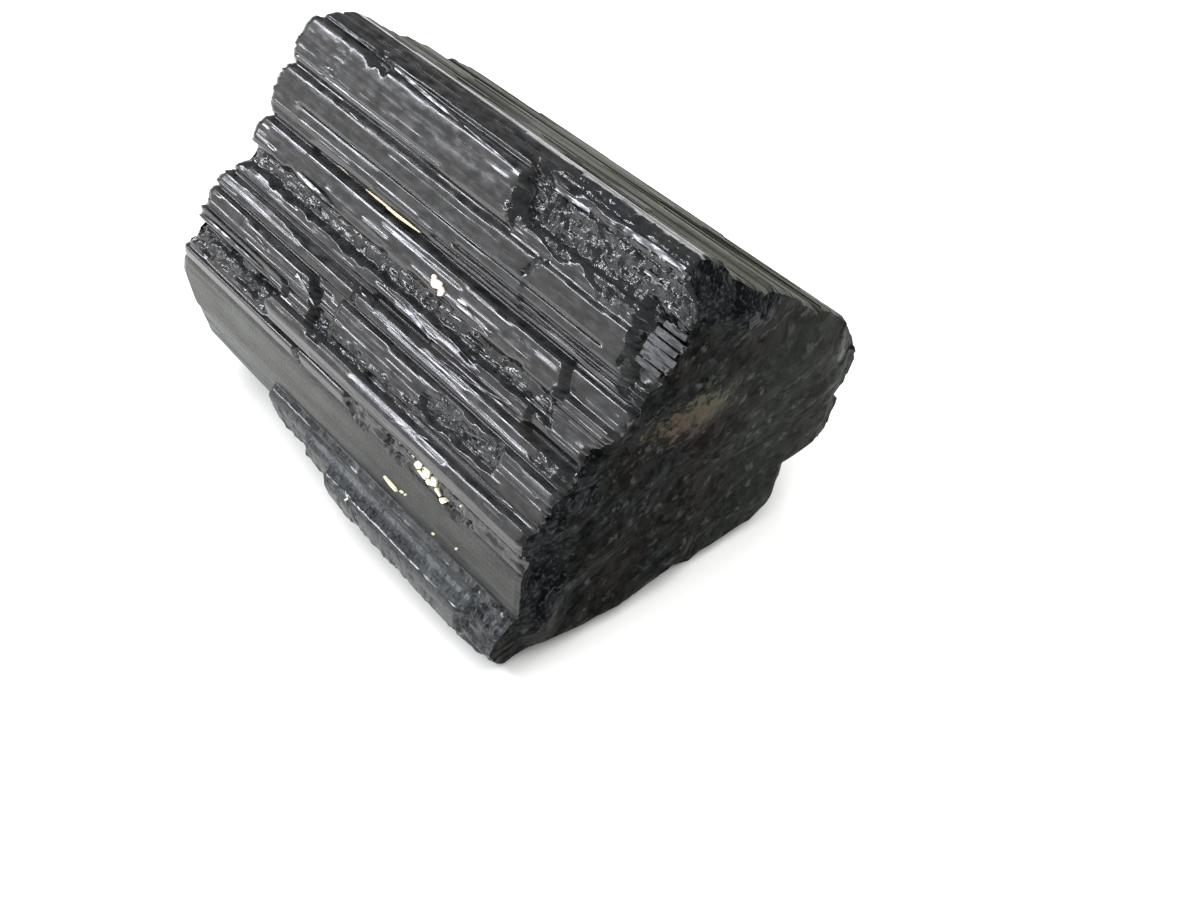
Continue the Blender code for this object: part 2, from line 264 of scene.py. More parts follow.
def main_relief(s, x):
    """Height of the ribbed faces above the plain outline, and the crumbled share."""
    height = np.zeros_like(x)
    crumbled = np.zeros_like(x)
    places = np.stack([RAGGED_GRAIN[0] * x, RAGGED_GRAIN[1] * s, 0.0 * x], axis=-1).reshape(-1, 3)
    wander = np.array([noise.noise_vector(place) for place in places])[:, :2].reshape(x.shape + (2,))
    ragged_x, ragged_s = x + RAGGED * wander[..., 0], s + RAGGED * wander[..., 1]
    for start, end, crown, lean, x_from, x_to in RIBS:
        across = np.clip(2.0 * (s - start) / (end - start) - 1.0, -1.0, 1.0)
        rib = (crown + lean * across) * (1.0 - across ** RIB_SHAPE)
        leaned_x = ragged_x + END_LEAN * (s - (start + end) / 2.0)
        height += rib * within(leaned_x, x_from, x_to, STEP_SOFTNESS)
    for middle, half_width, depth, x_from, x_to in GROOVES:
        across = np.clip(1.0 - np.abs(s - middle) / half_width, 0.0, 1.0)
        height -= depth * across * within(x, x_from, x_to, STEP_SOFTNESS)
    for start, end, x_from, x_to, depth, rough in LEDGES:
        leaned_x = ragged_x + END_LEAN * (s - (start + end) / 2.0)
        share = within(ragged_s, start, end, STEP_SOFTNESS)
        share *= within(leaned_x, x_from, x_to, STEP_SOFTNESS)
        height -= depth * share
        crumbled = np.maximum(crumbled, rough * share)
    for start, end, x_start, x_end, half_width, depth in SLOTS:
        middle = x_start + (x_end - x_start) * (s - start) / (end - start)
        share = within(s, start, end, STEP_SOFTNESS)
        share *= within(ragged_x, middle - half_width, middle + half_width, STEP_SOFTNESS)
        height -= depth * share
    for start, end, x_from, x_to, rough in CRUMBLED:
        share = within(ragged_s, start, end, STEP_SOFTNESS)
        share *= within(ragged_x, x_from, x_to, STEP_SOFTNESS)
        crumbled = np.maximum(crumbled, rough * share)
    return height, crumbled


# ------------------------
# Growth strips: each rib is made of long narrow flat strips. A few are turned
# so that they catch the window and shine white.
# ------------------------
STRIP_WIDTHS = (  # corner index it starts at, narrowest, widest, spacing of points in it
    (0, 0.16, 0.62, 0.22),
    (ROOF_START, 0.22, 0.8, 0.3),
    (WALL_START, 0.5, 1.4, 0.5),
    (BASE_START, 1.4, 2.6, 1.4),
)
RISER = 0.03               # half the width of the step between two strips
SLIVER = 0.6               # a rest under this share of the narrowest strip joins the one before
THINNEST_STRIP = 0.08
STRIP_SEED = 11
SHINE_TAPER = 1.2          # length over which the ends of a shining strip fade
SHINE_LIMIT = 56.0         # degrees that a strip can turn out of its face
SHINES = (  # s from, s to, x from, x to
    (3.86, 4.04, -21.5, -0.8),
    (2.92, 3.04, -12.5, -3.4),
    (1.50, 1.64, -9.0, -3.2),
    (28.02, 28.36, -12.2, -9.8),
    (28.02, 28.36, -6.2, -0.6),
    (24.42, 24.62, -1.0, 3.0),
    (23.66, 23.92, -1.0, 3.0),
    (23.10, 23.26, -1.0, 3.0),
    (22.44, 22.72, -1.0, 3.0),
    (24.85, 24.98, -20.3, -18.6),
    (24.08, 24.18, -26.5, -21.8),
    (22.88, 23.12, -33.9, -33.0),
    (22.22, 22.34, -27.9, -26.8),
    (20.42, 20.62, -28.0, -18.0),
    (18.02, 18.16, -22.0, -10.2),
    (17.02, 17.20, -5.8, -0.9),
    (16.36, 16.48, -20.5, -14.5),
    (15.06, 15.18, -13.4, -8.0),
    (14.82, 14.98, -37.2, -30.8),
    (14.32, 14.44, -18.5, -9.8),
    (13.82, 13.95, -16.8, -9.6),
    (12.82, 12.92, -17.8, -12.4),
    (12.40, 12.52, -5.0, 0.2),
    (12.06, 12.16, -21.5, -13.4),
    (11.38, 11.50, -10.2, -5.1),
    (9.68, 9.82, -17.0, -8.8),
)


def mirror_angle(y, z):
    """Which way (degrees from y to z) a flat at one place faces to mirror the window."""
    ways = [np.arctan2(place[2] - z, place[1] - y) for place in (CAMERA_PLACE, WINDOW_PLACE)]
    return np.degrees(ways[0] + ways[1]) / 2.0


def strip_edges(rng):
    """Edges s of the strips: those of the ribs, grooves and shines, and random ones between."""
    fixed = set(np.round(arcs, 3))
    fixed |= {round(edge, 3) for row in SHINES + RIBS for edge in row[:2]}
    fixed |= {round(row[0] + side * row[1], 3) for row in GROOVES for side in (-1, 0, 1)}
    fixed = sorted(edge for edge in fixed if arcs[0] <= edge <= arcs[-1])
    edges = [fixed[0]]
    for nearest in fixed[1:]:
        while nearest - edges[-1] > SAME:
            start = edges[-1]
            row = [row for row in STRIP_WIDTHS if arcs[row[0]] <= start + SAME][-1]
            end = start + rng.uniform(row[1], row[2])
            edges.append(nearest if end > nearest - row[1] * SLIVER else end)
    return np.array([edge for edge, after in zip(edges, edges[1:]) if after - edge > THINNEST_STRIP])


def strip_points(edges):
    """Points s round the section, with the number and middle of the strip of each."""
    points, numbers, middles = [], [], []
    for number, (start, end) in enumerate(zip(edges, np.append(edges[1:], arcs[-1]))):
        spacing = [row[3] for row in STRIP_WIDTHS if arcs[row[0]] <= start + SAME][-1]
        inner = np.linspace(start + RISER, end - RISER, max(2, 1 + round((end - start) / spacing)))
        points += list(inner)
        numbers += [number] * len(inner)
        middles += [(start + end) / 2] * len(inner)
    return np.array(points), np.array(numbers), np.array(middles)


random_strips = np.random.default_rng(STRIP_SEED)
edges = strip_edges(random_strips)
places, strip_numbers, strip_middles = strip_points(edges)
width = len(places)

# ------------------------
# The two breaks: the prism snapped across, leaving uneven, dull surfaces with
# hollows and lumps. These curves say where each face ends.
# ------------------------
END_REACH = 4.0            # length over which the sections turn to follow a break
EDGE_CHIP = 0.12           # wear of the sharp edge round each break
EDGE_REACH = 0.4
EDGE_WAVES = (2.3, 0.9)    # how the wear swells and fades round the section
BREAK_CENTRE = (15.5, 11.5)
BREAK_RELIEF = 0.45
BREAK_GRAIN = (0.2, 0.36)  # waves to a mm, across and upwards
BREAK_WAVES = (1.2, 2.1, 2)          # evenness, how much finer each layer is, layers
BREAK_RIM = 0.12           # share of a break's width that turns to meet the faces
BREAK_EVEN = 0.06          # share over which the ribs' outline evens out
BREAK_RINGS = (0.988, 0.955, 0.905)
RIM_SMOOTH = 25            # points of the rim that a ring's height is evened over
BREAK_SPACING = 0.34       # of the net inside the rings
NET_REACH = 18.0
NET_SHIFT = 0.4            # shares of the spacing: how far a knot strays, and stays off the ring
NET_MARGIN = 0.6
NET_CLOSE = 1e-5
NET_SEED = 5
FRONT_LEVEL = 0.35
BACK_LEVEL = -36.8
FRONT_EDGE = (  # s, x
    (-1.0, -0.9), (2.0, -0.2), (5.0, 0.4), (10.0, 0.0), (14.0, 0.1), (16.8, -0.4),
    (18.2, 0.9), (21.0, 1.0), (25.0, 1.3), (27.0, 1.0), (28.2, -0.7), (29.6, -1.3), (31.6, -1.2),
    (33.0, -0.6), (34.4, 0.2), (46.0, 0.2), (49.0, 0.4), (52.0, 0.0), (58.0, 0.0), (64.5, -0.2),
    (69.0, -0.6), (73.0, 0.0), (78.0, -0.5), (90.0, -0.9),
)
BACK_EDGE = (
    (-1.0, -34.6), (2.0, -35.2), (4.4, -36.2), (6.5, -38.2), (9.0, -37.6), (10.6, -36.8),
    (12.6, -37.3), (14.4, -37.6), (17.0, -36.4), (19.0, -36.8), (20.6, -36.2), (22.6, -37.0),
    (24.4, -36.4), (26.4, -36.8), (28.4, -36.0), (29.4, -35.7), (34.0, -36.2), (38.5, -36.7),
    (39.6, -37.6), (45.0, -37.6), (50.0, -38.2), (56.0, -37.4), (64.0, -36.0), (72.0, -36.8),
    (80.0, -35.4), (90.0, -34.6),
)
FRONT_FORMS = (  # y, z, radius, height
    (14.4, 24.0, 3.0, -1.2),  # hollow under the crest
    (2.6, 9.4, 3.6, -0.7),  # glassy scoop behind the left wall
    (3.2, 4.4, 2.8, 0.6),  # lip at the foot of the left wall
    (18.0, 21.0, 3.4, 0.5),
    (22.8, 18.6, 2.6, -0.5),  # flat chip below the roof
    (14.5, 15.6, 3.6, 0.6),
    (25.5, 13.0, 4.5, 0.7),
    (20.0, 7.0, 5.0, -0.5),
    (8.5, 9.5, 4.5, 0.4),
    (14.0, 3.5, 4.0, 0.5),
)
BACK_FORMS = (
    (6.0, 8.0, 4.5, -1.0),
    (14.0, 17.5, 5.0, -0.9),
    (12.0, 6.5, 4.5, 0.8),
    (21.0, 12.5, 5.5, 1.0),
    (24.5, 7.0, 4.0, -0.8),
    (17.0, 22.0, 3.0, 0.6),
)
FRESH_CHIPS_AND_SHADE = (  # y, z, reach in y and in z of darker patches on the front break: painted shade in hollows and along the rim where rib ends stand over it, on glassier fresh fracture
    (2.4, 9.6, 3.2, 6.0),
    (5.6, 14.6, 2.2, 2.4),
    (8.6, 18.6, 1.6, 2.0),
    (11.6, 22.2, 1.5, 1.8),
    (15.4, 23.6, 3.4, 2.4),
    (19.0, 21.6, 3.0, 1.4),
    (28.4, 14.2, 1.6, 2.2),
)
FILMED = (  # s from, s to of the faces under a dull film, and number of the film
    (-1.0, 7.8, 2),
    (30.6, 47.0, 3),
)
END_RAGGED = (0.12, 0.04)  # how far ribbed and plain strips end before or after their neighbours
RAGGED_REACH = 1.2
ROW_SPACING = 0.2          # spacing of the mesh's sections along the prism

row_count = round(LENGTH / ROW_SPACING)
rows = -LENGTH * np.arange(row_count + 1) / row_count
s_grid, station = np.meshgrid(places, rows)
to_back = -LENGTH - station
x_grid = station + np.interp(places, *np.array(FRONT_EDGE).T) * ease(1.0 + station / END_REACH)
x_grid += (np.interp(places, *np.array(BACK_EDGE).T) + LENGTH) * ease(1.0 + to_back / END_REACH)
ragged_ends = random_strips.uniform(-1.0, 1.0, (2, len(edges)))[:, strip_numbers]
ragged_ends *= np.where((places > arcs[3]) & (places < arcs[ROOF_START]), *END_RAGGED)
x_grid += ragged_ends[0] * ease(1.0 + station / RAGGED_REACH)
x_grid += ragged_ends[1] * ease(1.0 + to_back / RAGGED_REACH)
share = np.clip(-x_grid / LENGTH, 0.0, 1.0)
relief, crumb = main_relief(s_grid, x_grid)

plain_yz = outline(s_grid, share)
face_out = outward(s_grid, share)
face_angle = np.degrees(np.arctan2(face_out[..., 1], face_out[..., 0]))
shine = np.zeros_like(relief)
for start, end, x_from, x_to in SHINES:
    inside = (s_grid > start) & (s_grid < end) & (x_grid > x_from) & (x_grid < x_to)
    taper = np.minimum(x_grid - x_from, x_to - x_grid) / SHINE_TAPER
    shine = np.where(inside, np.clip(taper, 0.0, 1.0), shine)
turned = face_angle - mirror_angle(plain_yz[..., 0], plain_yz[..., 1])
shine_slope = np.tan(np.radians(np.clip(turned, -SHINE_LIMIT, SHINE_LIMIT)))
offset = s_grid - strip_middles
strip_level = main_relief(np.broadcast_to(strip_middles, s_grid.shape), x_grid)[0]
relief += shine * (strip_level - shine_slope * offset - relief)

calm = np.ones_like(relief)
for start, end, share_left in CALM:
    calm = np.where((s_grid > start) & (s_grid < end), share_left, calm)
on_flat = np.zeros_like(places, dtype=bool)
for first, last in FLAT_PAIRS:
    on_flat |= (places >= arcs[first] - SAME) & (places <= arcs[last] + SAME)
calm[:, on_flat] = 0.0
calm *= 1.0 - shine
crumb *= 1.0 - shine
wear = EDGE_CHIP * ease(1.0 + np.maximum(station, to_back) / EDGE_REACH)
relief -= wear * (1.0 + 0.5 * np.sin(EDGE_WAVES[0] * s_grid) * np.sin(EDGE_WAVES[1] * s_grid + 1.0))

yz = plain_yz + face_out * relief[..., None]
yz[:, on_flat] = plain_yz[:, on_flat]
yz[..., 1] = np.maximum(yz[..., 1], 0.0)

points = [np.stack([x_grid, yz[..., 0], yz[..., 1]], axis=-1).reshape(-1, 3)]
directions = [np.stack([0.0 * x_grid, face_out[..., 0], face_out[..., 1]], axis=-1).reshape(-1, 3)]
marks = {
    "s": [s_grid.ravel()],
    "along": [x_grid.ravel()],
    "strip": [np.broadcast_to(strip_numbers, s_grid.shape).ravel().astype(float)],
    "across": [offset.ravel()],
    "calm": [calm.ravel()],
    "crumb": [crumb.ravel()],
}
faces = []
for row in range(row_count):
    first = row * width + np.arange(width)
    after = row * width + (np.arange(width) + 1) % width
    faces += np.stack([first, after, after + width, first + width], axis=1).tolist()
strip_kinds = np.zeros(width, dtype=int)
for start, end, film in FILMED + tuple((*row[:2], 0) for row in SHINES):
    strip_kinds[(places > start) & (places < end)] = film
face_kinds = np.tile(strip_kinds, row_count).tolist()


def add_points(new_points, side):
    """Add points of a break that faces side, and give back the number of the first."""
    first = sum(len(part) for part in points)
    points.append(new_points)
    directions.append(np.tile((side, 0.0, 0.0), (len(new_points), 1)))
    for name in marks:
        marks[name].append(np.zeros(len(new_points)))
    return first


def break_height(y, z, forms, seed):
    """Relief of a break at one place."""
    place = (BREAK_GRAIN[0] * y, BREAK_GRAIN[1] * z, seed)
    height = BREAK_RELIEF * noise.fractal(place, *BREAK_WAVES)
    for form_y, form_z, radius, rise in forms:
        height += rise * float(ease(1.0 - math.hypot(y - form_y, z - form_z) / radius))
    return height


def close_break(rim, level, forms, seed, side):
    """Close one end: rings in from the rim, then an even net of triangles."""
    edge_x, edge_yz = rim[:, 0], rim[:, 1:]
    smooth = outline(places, np.full(width, 0.0 if side > 0 else 1.0))
    centre = np.array(BREAK_CENTRE)
    outer = (0 if side > 0 else row_count * width) + np.arange(width)
    window = np.ones(RIM_SMOOTH) / RIM_SMOOTH
    even_x = np.convolve(np.pad(edge_x, RIM_SMOOTH // 2, mode="wrap"), window, mode="valid")
    for ring in BREAK_RINGS:
        blend = ease((1.0 - ring) / BREAK_EVEN)
        ring_yz = centre + (edge_yz + (smooth - edge_yz) * blend - centre) * ring
        inside = float(ease((1.0 - ring) / BREAK_RIM))
        rim_x = edge_x + (even_x - edge_x) * blend
        heights = np.array([break_height(y, z, forms, seed) for y, z in ring_yz])
        ring_x = rim_x + (level - rim_x) * inside + side * inside * heights
        inner = add_points(np.column_stack([ring_x, ring_yz]), side) + np.arange(width)
        ring_faces = np.stack([outer, inner, np.roll(inner, -1), np.roll(outer, -1)], axis=1)
        faces.extend((ring_faces if side > 0 else ring_faces[:, ::-1]).tolist())
        face_kinds.extend([1] * width)
        outer = inner
    polar = ring_yz - centre
    angles = np.arctan2(polar[:, 1], polar[:, 0])
    order = np.argsort(angles)
    radii = np.hypot(*polar.T)
    span = np.arange(-NET_REACH, NET_REACH, BREAK_SPACING)
    net = np.array([grid.ravel() for grid in np.meshgrid(span, span)])
    net += np.random.default_rng(NET_SEED).uniform(-NET_SHIFT, NET_SHIFT, net.shape) * BREAK_SPACING
    reach = np.interp(np.arctan2(net[1], net[0]), angles[order], radii[order], period=2 * math.pi)
    net = net.T[np.hypot(*net) < reach - BREAK_SPACING * NET_MARGIN] + centre
    flat_points = [Vector(point) for point in np.vstack([ring_yz, net])]
    loop = [(index, (index + 1) % width) for index in range(width)]
    cut = geometry.delaunay_2d_cdt(flat_points, loop, [], 1, NET_CLOSE)
    net_x = [level + side * break_height(y, z, forms, seed) for y, z in net]
    net_start = add_points(np.column_stack([net_x, net]), side)
    known = [sources[0] for sources in cut[3]]
    numbers = [outer[index] if index < width else net_start + index - width for index in known]
    for corners in cut[2]:
        triangle = [int(numbers[corner]) for corner in corners]
        faces.append(triangle if side > 0 else triangle[::-1])
        face_kinds.append(1)


close_break(points[0][:width], FRONT_LEVEL, FRONT_FORMS, seed=3.0, side=1)
close_break(points[0][-width:], BACK_LEVEL, BACK_FORMS, seed=8.0, side=-1)

x, y, z = np.vstack(points).T
# Painted shade: near-black patches on the front break where its hollows and rim lie in shade, which also
# mark glassier fresh fracture.
fresh_and_shade = np.zeros(len(x))
for chip_y, chip_z, reach_y, reach_z in FRESH_CHIPS_AND_SHADE:
    away = np.hypot((y - chip_y) / reach_y, (z - chip_z) / reach_z)
    fresh_and_shade = np.maximum(fresh_and_shade, np.clip(2.0 - 2.0 * away, 0.0, 1.0) * (x > -LENGTH / 2))
marks["fresh_and_shade"] = [fresh_and_shade]


def new_piece(name, places, lines, faces, marks):
    """An object of points (mm, in the drawing), with marks on them for its nodes and materials."""
    mesh = bpy.data.meshes.new(name)
    mesh.from_pydata((np.array(places) * MM + np.array(drawing_origin)).tolist(), lines, faces)
    for mark, numbers in marks.items():
        layer = mesh.attributes.new(mark, "FLOAT", "POINT")
        layer.data.foreach_set("value", numbers)
    piece = bpy.data.objects.new(name, mesh)
    bpy.context.scene.collection.objects.link(piece)
    return piece


marks = {name: np.concatenate(parts) for name, parts in marks.items()}
crystal = new_piece("crystal", np.vstack(points), [], faces, marks)
layer = crystal.data.attributes.new("outward", "FLOAT_VECTOR", "POINT")
layer.data.foreach_set("vector", np.vstack(directions).ravel())
layer = crystal.data.attributes.new("kind", "INT", "FACE")
layer.data.foreach_set("value", face_kinds)


# ------------------------
# Finish of the crystal's faces: plates of growth, each at its own level and
# tilt, with crumbled grains where ribs snapped off.
# ------------------------
PLATE_SIZES = {            # sizes in mm, tilts as slopes
    "Plate depth": 0.03,
    "Plate tilt": 0.17,
    "Plate length": 8.0,
    "Grain size": 0.46,
    "Grain height": 0.13,
    "Grain tilt": 0.9,
    "Seed": 4,
}
PLATE_STRETCH = (0.4, 1.6) # shortest and longest plates, as shares of the length
PLATE_SHIFT = 40.0         # how far a strip's plates are shifted along it
PLATES_TO_STRIP = 61.0     # numbers kept for the plates of one strip
GRAIN_SQUASH = (0.8, 1.0)  # grains are a little longer along the prism


def colour(code):
    """Linear colour of an sRGB hex value."""
    parts = [int(code[index:index + 2], 16) / 255.0 for index in (1, 3, 5)]
    return [p / 12.92 if p <= 0.04045 else ((p + 0.055) / 1.055) ** 2.4 for p in parts] + [1.0]


def give(tree, node, inputs):
    """Link or set a node's inputs, with colours as hex values."""
    for name, value in inputs.items():
        if isinstance(value, bpy.types.NodeSocket):
            tree.links.new(value, node.inputs[name])
        else:
            is_colour = isinstance(value, str) and value.startswith("#")
            node.inputs[name].default_value = colour(value) if is_colour else value


def add(tree, kind, inputs=None, out=0, **settings):
    """Add a node with its settings and links, and give back one of its outputs."""
    made = tree.nodes.new(kind)
    for name, value in settings.items():
        setattr(made, name, value)
    give(tree, made, inputs or {})
    return made.outputs[out] if len(made.outputs) else made


def grains(tree, first, second, size, height, tilt, squash):
    """Height of broken grains: flat chips, each at its own level and tilt."""
    place = add(tree, "ShaderNodeCombineXYZ", {"X": first, "Y": second})
    place = add(tree, "ShaderNodeVectorMath", {0: place, 1: (*squash, 1.0)}, operation="MULTIPLY")
    fineness = add(tree, "ShaderNodeMath", {0: 1.0, 1: size}, operation="DIVIDE")
    place = add(tree, "ShaderNodeVectorMath", {0: place, "Scale": fineness}, operation="SCALE")
    cells = {"Vector": place, "Scale": 1.0}
    chosen = add(tree, "ShaderNodeTexVoronoi", cells, out="Color", voronoi_dimensions="2D")
    heart = add(tree, "ShaderNodeTexVoronoi", cells, out="Position", voronoi_dimensions="2D")
    centred = add(tree, "ShaderNodeVectorMath", {0: chosen, 1: (0.5, 0.5, 0.5)}, operation="SUBTRACT")
    away = add(tree, "ShaderNodeVectorMath", {0: place, 1: heart}, operation="SUBTRACT")
    lean = add(tree, "ShaderNodeVectorMath", {0: centred, 1: away}, out="Value", operation="DOT_PRODUCT")
    lean = add(tree, "ShaderNodeMath", {0: lean, 1: tilt}, operation="MULTIPLY")
    lean = add(tree, "ShaderNodeMath", {0: lean, 1: size}, operation="MULTIPLY")
    level = add(tree, "ShaderNodeSeparateXYZ", {0: centred}, out=2)
    span = add(tree, "ShaderNodeMath", {0: height, 1: 2.0}, operation="MULTIPLY")
    return add(tree, "ShaderNodeMath", {0: level, 1: span, 2: lean}, operation="MULTIPLY_ADD")


def new_tree(name, sizes):
    """A tree that finishes a piece, with named inputs for its sizes, and what it is given."""
    tree = bpy.data.node_groups.new(name, "GeometryNodeTree")
    for side in ("INPUT", "OUTPUT"):
        tree.interface.new_socket("Geometry", in_out=side, socket_type="NodeSocketGeometry")
    for size, value in sizes.items():
        kind = "NodeSocketInt" if isinstance(value, int) else "NodeSocketFloat"
        tree.interface.new_socket(size, in_out="INPUT", socket_type=kind).default_value = value
    return tree, tree.nodes.new("NodeGroupInput").outputs


def plates_tree(materials):
    """Geometry Nodes that raise the plates and grains, and give each side its material."""
    tree, given = new_tree("growth plates", PLATE_SIZES)
    mark = {}
    for name in ("along", "s", "strip", "across", "calm", "crumb"):
        mark[name] = add(tree, "GeometryNodeInputNamedAttribute", {"Name": name})
    outward_way = {"Name": "outward"}
    outward_way = add(tree, "GeometryNodeInputNamedAttribute", outward_way, data_type="FLOAT_VECTOR")
    kind = add(tree, "GeometryNodeInputNamedAttribute", {"Name": "kind"}, data_type="INT")

    def chance(low, high, number, shift):
        """A random number that is the same for the whole strip or plate."""
        seed = add(tree, "ShaderNodeMath", {0: given["Seed"], 1: shift}, operation="ADD")
        inputs = {2: low, 3: high, "ID": number, "Seed": seed}
        return add(tree, "FunctionNodeRandomValue", inputs, out=1, data_type="FLOAT")

    length = {0: chance(*PLATE_STRETCH, mark["strip"], 1), 1: given["Plate length"]}
    length = add(tree, "ShaderNodeMath", length, operation="MULTIPLY")
    shifted = {0: mark["along"], 1: chance(0.0, PLATE_SHIFT, mark["strip"], 2)}
    shifted = add(tree, "ShaderNodeMath", shifted, operation="ADD")
    plate = add(tree, "ShaderNodeMath", {0: shifted, 1: length}, operation="DIVIDE")
    plate = add(tree, "ShaderNodeMath", {0: plate}, operation="FLOOR")
    plate = {0: mark["strip"], 1: PLATES_TO_STRIP, 2: plate}
    plate = add(tree, "ShaderNodeMath", plate, operation="MULTIPLY_ADD")
    level = {0: chance(-1.0, 1.0, plate, 3), 1: given["Plate depth"]}
    level = add(tree, "ShaderNodeMath", level, operation="MULTIPLY")
    slope = {0: chance(-1.0, 1.0, plate, 4), 1: given["Plate tilt"]}
    slope = add(tree, "ShaderNodeMath", slope, operation="MULTIPLY")
    plates = {0: slope, 1: mark["across"], 2: level}
    plates = add(tree, "ShaderNodeMath", plates, operation="MULTIPLY_ADD")
    plates = add(tree, "ShaderNodeMath", {0: plates, 1: mark["calm"]}, operation="MULTIPLY")
    sizes = [given[name] for name in ("Grain size", "Grain height", "Grain tilt")]
    height = {0: grains(tree, mark["along"], mark["s"], *sizes, GRAIN_SQUASH), 1: mark["crumb"], 2: plates}
    height = add(tree, "ShaderNodeMath", height, operation="MULTIPLY_ADD")
    height = add(tree, "ShaderNodeMath", {0: height, 1: MM}, operation="MULTIPLY")
    move = add(tree, "ShaderNodeVectorMath", {0: outward_way, "Scale": height}, operation="SCALE")
    last = add(tree, "GeometryNodeSetPosition", {"Geometry": given["Geometry"], "Offset": move})
    last = add(tree, "GeometryNodeRealizeInstances", {"Geometry": last})
    for number, material in enumerate(materials):
        chosen = add(tree, "FunctionNodeCompare", {2: kind, 3: number}, data_type="INT", operation="EQUAL")
        chosen = {"Geometry": last, "Selection": chosen, "Material": material}
        last = add(tree, "GeometryNodeSetMaterial", chosen)
    add(tree, "NodeGroupOutput", {0: last})
    return tree


def grow(piece, tree, sizes):
    """Finish a piece by its tree, keep the result as its plain mesh, and hold it in the crystal's box."""
    modifier = piece.modifiers.new(tree.name, "NODES")
    modifier.node_group = tree
    for item in tree.interface.items_tree:
        if item.in_out == "INPUT" and item.name in sizes:
            modifier[item.identifier] = sizes[item.name]
    depsgraph = bpy.context.evaluated_depsgraph_get()
    finished = bpy.data.meshes.new_from_object(piece.evaluated_get(depsgraph))
    piece.modifiers.remove(modifier)
    for vertex in finished.vertices:
        for axis in range(3):
            vertex.co[axis] = min(max(vertex.co[axis], crystal_low[axis]), crystal_high[axis])
    piece.data = finished


# ------------------------
# Materials of the crystal: black schorl, glassy on the striated faces, satin
# under a thin film of weathering with partly painted sheen, and dull and dusty
# where it broke, with painted shade along the front break's rim.
# ------------------------
SCHORL_IOR = 1.64
FACE_LINES = (0.15, 6.0)   # patterns: how many to a mm, along the prism and across it
FINE_LINES = (0.7, 14.0)
SCARS = (0.9, 2.0)
PATCHES = (0.4, 0.8)
GLITTER = (2.4, 2.8)
FILM_LINES = (0.03, 3.2)
FILM_PATCHES = (0.35, 0.8)
DUST = (5.0, 7.0)
LINE_DEPTH = 0.012         # mm
GLITTER_DEPTH = 0.11


def new_material(name, code, roughness, ior, specular=0.5):
    """A material of one colour and finish, with its tree and shader to build on."""
    material = bpy.data.materials.new(name)
    material.use_nodes = True
    shader = material.node_tree.nodes["Principled BSDF"]
    finish = {"Base Color": code, "Roughness": roughness, "IOR": ior, "Specular IOR Level": specular}
    give(material.node_tree, shader, finish)
    return material, material.node_tree, shader


def mottle(tree, parts, detail, seed):
    """Noise over the faces, with so many cells to a mm along the prism and across it."""
    along = add(tree, "ShaderNodeAttribute", out="Fac", attribute_name="along")
    s = add(tree, "ShaderNodeAttribute", out="Fac", attribute_name="s")
    place = add(tree, "ShaderNodeCombineXYZ", {"X": along, "Y": s, "Z": seed})
    place = add(tree, "ShaderNodeVectorMath", {0: place, 1: (*parts, 1.0)}, operation="MULTIPLY")
    return add(tree, "ShaderNodeTexNoise", {"Vector": place, "Scale": 1.0, "Detail": detail})


def summed(tree, *parts):
    """Sum of patterns, each by its weight."""
    total = 0.0
    for pattern, weight in parts:
        total = add(tree, "ShaderNodeMath", {0: pattern, 1: weight, 2: total}, operation="MULTIPLY_ADD")
    return total


def tinted(tree, ground, *tints):
    """A ground colour with tints over it: what each follows, where it starts and is full, share, colour."""
    for pattern, start, full, share, tint in tints:
        share = add(tree, "ShaderNodeMapRange", {0: pattern, 1: start, 2: full, 4: share})
        ground = add(tree, "ShaderNodeMix", {0: share, 6: ground, 7: tint}, out=2, data_type="RGBA")
    return ground


def struck(tree, lines, depth, calm_full, calm_least, grit_detail):
    """Normal of a face: fine lines except where it is calm, and grit where it is crumbled."""
    calm = add(tree, "ShaderNodeAttribute", out="Fac", attribute_name="calm")
    crumb = add(tree, "ShaderNodeAttribute", out="Fac", attribute_name="crumb")
    strength = add(tree, "ShaderNodeMapRange", {0: calm, 1: 0.1, 2: calm_full, 3: calm_least, 4: 1.0})
    lined = {"Height": lines, "Strength": strength, "Distance": depth * MM}
    lined = add(tree, "ShaderNodeBump", lined)
    grit = mottle(tree, GLITTER, grit_detail, 12.0)
    grit = {"Height": grit, "Strength": crumb, "Distance": GLITTER_DEPTH * MM, "Normal": lined}
    return add(tree, "ShaderNodeBump", grit)


# The faces: near-black and glassy, with brown patches. The lines drag every
# reflection out along the prism, and the scars break it up.
schorl, tree, shader = new_material("striated schorl", "#101113", 0.2, SCHORL_IOR)
lines = mottle(tree, FACE_LINES, 1.0, 0.0)
fine_lines = mottle(tree, FINE_LINES, 0.0, 4.0)
scars = mottle(tree, SCARS, 3.0, 8.0)
brown = mottle(tree, PATCHES, 4.0, 16.0)
dusty = add(tree, "ShaderNodeAttribute", out="Fac", attribute_name="crumb")
dark_face = tinted(
    tree,
    "#08090b",
    (scars, 0.35, 0.7, 1.0, "#2b2c2d"),
    (brown, 0.5, 0.7, 0.55, "#2a2522"),
    (dusty, 0.0, 1.0, 1.0, "#191b1c"),
)
worn = add(tree, "ShaderNodeMapRange", {0: scars, 1: 0.3, 2: 0.75, 3: 0.12, 4: 0.34})
lines = summed(tree, (lines, 1.0), (fine_lines, 0.45), (scars, 1.0))
normal = struck(tree, lines, LINE_DEPTH, 0.6, 0.04, 2.0)
give(tree, shader, {"Base Color": dark_face, "Roughness": worn, "Normal": normal})
